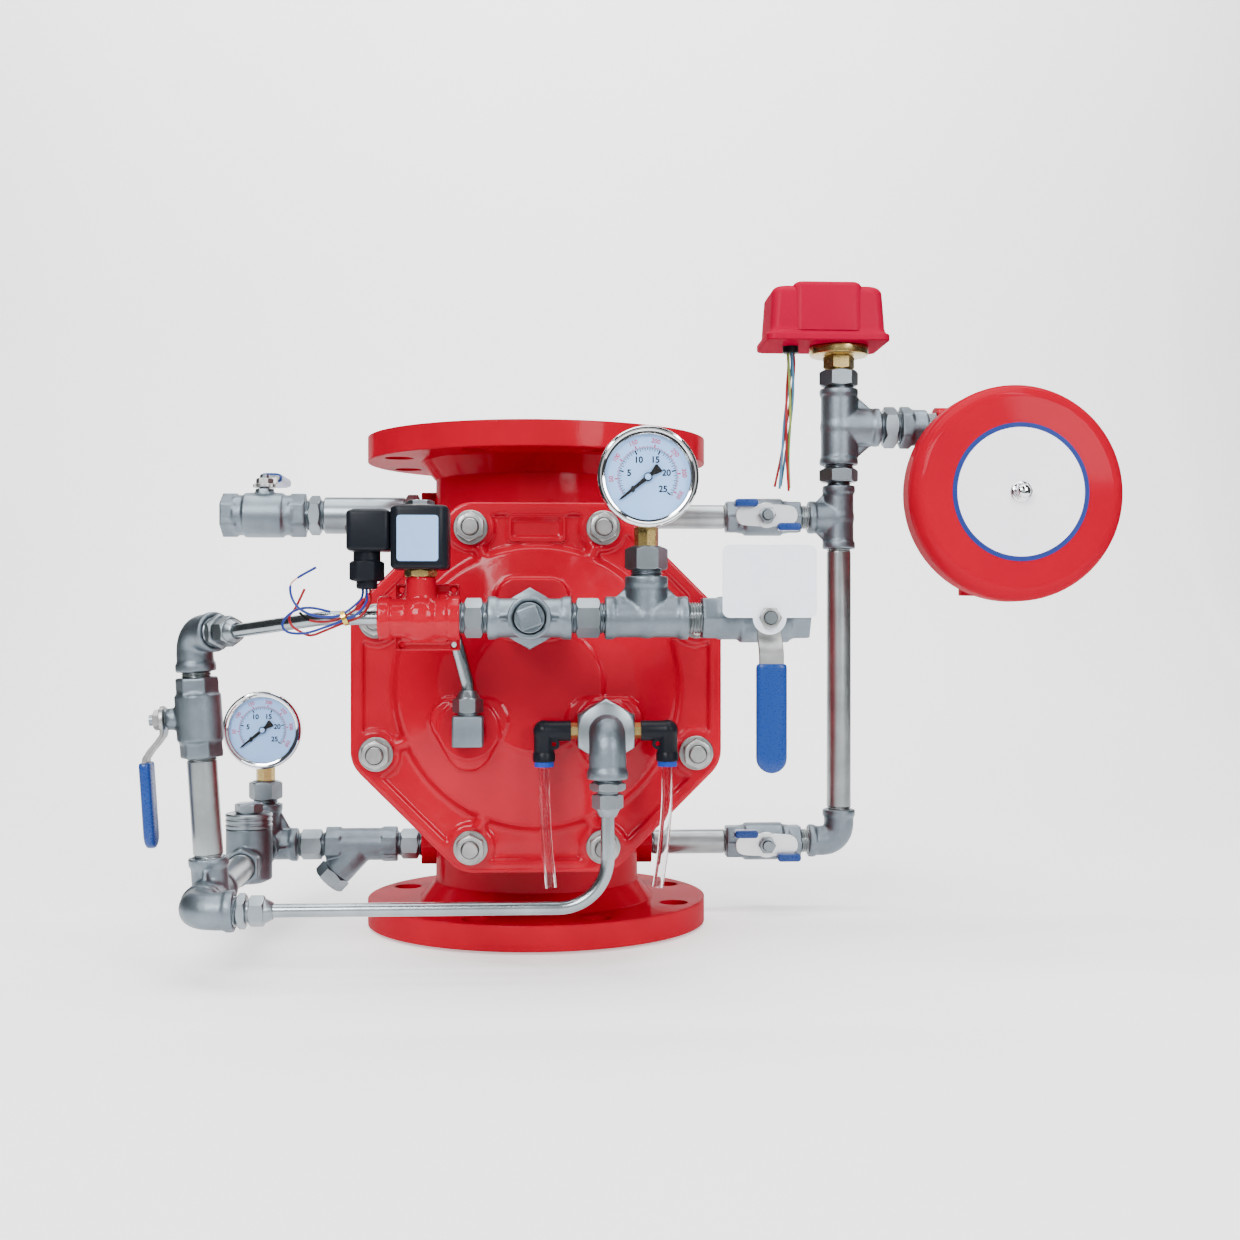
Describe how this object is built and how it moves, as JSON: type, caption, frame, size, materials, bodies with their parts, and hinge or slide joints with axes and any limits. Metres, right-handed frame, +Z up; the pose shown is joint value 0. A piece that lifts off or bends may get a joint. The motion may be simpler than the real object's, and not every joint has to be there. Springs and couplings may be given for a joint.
{
  "type": "deluge valve",
  "caption": "Flanged diaphragm deluge valve with release, drain and alarm trim, pressure gauges, solenoid, pressure switch and water motor gong.",
  "frame": {"origin": "centre of the inlet flange's bottom face, on the waterway axis", "axes": "+Z up along the waterway towards the outlet, -Y out of the diaphragm cover, +X towards the gong"},
  "size_m": [0.767, 0.463, 0.546],
  "materials": {
    "red_paint": "gloss",
    "cast_steel": "bead blasted",
    "bright_steel": "turned",
    "zinc_steel": "plated",
    "brass": "machined",
    "rubber": "matte",
    "black_plastic": "satin",
    "clear_tube": "clear",
    "gauge_steel": "polished",
    "dial_white": "satin",
    "gauge_glass": "clear",
    "pointer_black": "satin",
    "seal_white": "satin",
    "sign_white": "gloss",
    "red_wire": "insulation",
    "blue_wire": "insulation",
    "box_red": "gloss"
  },
  "bodies": {
    "valve": {"valve_body": "red_paint", "cover": "red_paint", "diaphragm": "rubber", "seat_ring": "brass", "cover_studs": "zinc_steel", "cover_nuts": "zinc_steel", "cover_washers": "zinc_steel", "hex_nipples": "bright_steel", "trim_pipes": "bright_steel", "pipe_fittings": "cast_steel", "hex_bushings": "bright_steel", "tube_fittings": "bright_steel", "tube_nuts": "bright_steel", "pilot_tubes": "bright_steel", "drip_block": "cast_steel", "push_in_stems": "brass", "push_in_elbows": "black_plastic", "drip_tubes": "clear_tube", "solenoid_body": "red_paint", "core_tube": "brass", "solenoid_coil": "black_plastic", "coil_connector": "black_plastic", "gauge_cases": "gauge_steel", "gauge_dials": "dial_white", "gauge_lenses": "gauge_glass", "gauge_stems": "brass", "lever_valve_bodies": "cast_steel", "wing_valve_bodies": "cast_steel", "ball_seats": "seal_white", "strainer_body": "cast_steel", "strainer_cap": "cast_steel", "strainer_screen": "bright_steel", "check_valve_body": "cast_steel", "check_valve_cap": "cast_steel", "switch_flange": "brass", "switch_cover": "box_red", "motor_housing": "red_paint", "gong_bell": "red_paint", "gong_bolt": "zinc_steel", "switch_leads": "red_wire", "solenoid_leads": "blue_wire", "wire_tie": "brass"},
    "lift_plate": {"lift_disc": "bright_steel", "lift_spring": "bright_steel"},
    "manual_handle": {"manual_lever": "zinc_steel", "manual_ball": "bright_steel", "sign_plate": "sign_white"},
    "left_handle": {"left_lever": "zinc_steel", "left_ball": "bright_steel"},
    "drain_handle": {"drain_lever": "zinc_steel", "drain_ball": "bright_steel"},
    "upper_wing_handle": {"upper_wing": "zinc_steel", "upper_wing_ball": "bright_steel"},
    "lower_wing_handle": {"lower_wing": "zinc_steel", "lower_wing_ball": "bright_steel"},
    "front_pointer": {"front_needle": "pointer_black"},
    "left_pointer": {"left_needle": "pointer_black"},
    "flapper": {"check_flapper": "brass"},
    "plunger": {"solenoid_plunger": "bright_steel"},
    "gong_striker": {"striker": "bright_steel"}
  },
  "joints": [
    {"name": "diaphragm_lift", "type": "slide", "parent": "valve", "child": "lift_plate", "axis": [0, -1, 0], "range_m": [0, 0.019], "stiffness_N_per_m": 2000, "springref_m": -0.01, "deforming": ["lift_spring", "diaphragm"]},
    {"name": "manual_release", "type": "hinge", "parent": "valve", "child": "manual_handle", "pos_m": [0.152, -0.271, 0.252], "axis": [0, -1, 0], "range_deg": [0, 90]},
    {"name": "supply_valve", "type": "hinge", "parent": "valve", "child": "left_handle", "pos_m": [-0.24288, -0.17265, 0.18091], "axis": [-0.9981, 0.0013, -0.061], "range_deg": [0, 90]},
    {"name": "drain_valve", "type": "hinge", "parent": "valve", "child": "drain_handle", "pos_m": [-0.236, 0.06, 0.343], "axis": [0, 0, 1], "range_deg": [0, 90]},
    {"name": "alarm_valve", "type": "hinge", "parent": "valve", "child": "upper_wing_handle", "pos_m": [0.199, 0.06, 0.343], "axis": [0, -1, 0], "range_deg": [0, 90]},
    {"name": "test_valve", "type": "hinge", "parent": "valve", "child": "lower_wing_handle", "pos_m": [0.199, 0.06, 0.057], "axis": [0, -1, 0], "range_deg": [0, 90]},
    {"name": "front_gauge_pointer", "type": "hinge", "parent": "valve", "child": "front_pointer", "pos_m": [0.073, -0.271, 0.345], "axis": [0, 1, 0], "range_deg": [0, 257], "stiffness_Nm_per_rad": 0.001},
    {"name": "left_gauge_pointer", "type": "hinge", "parent": "valve", "child": "left_pointer", "pos_m": [-0.235, 0.05788, 0.15798], "axis": [0, 0.9998, 0.0209], "range_deg": [0, 257], "stiffness_Nm_per_rad": 0.001},
    {"name": "check_flap", "type": "hinge", "parent": "valve", "child": "flapper", "pos_m": [-0.235, -0.01426, 0.06845], "axis": [-1, 0, 0], "range_deg": [0, 60]},
    {"name": "solenoid_stroke", "type": "slide", "parent": "valve", "child": "plunger", "axis": [0, 0, 1], "range_m": [0, 0.004], "stiffness_N_per_m": 500, "springref_m": -0.006},
    {"name": "gong_striker_turn", "type": "hinge", "parent": "valve", "child": "gong_striker", "pos_m": [0.393, 0, 0.356], "axis": [0, 1, 0], "continuous": true}
  ]
}
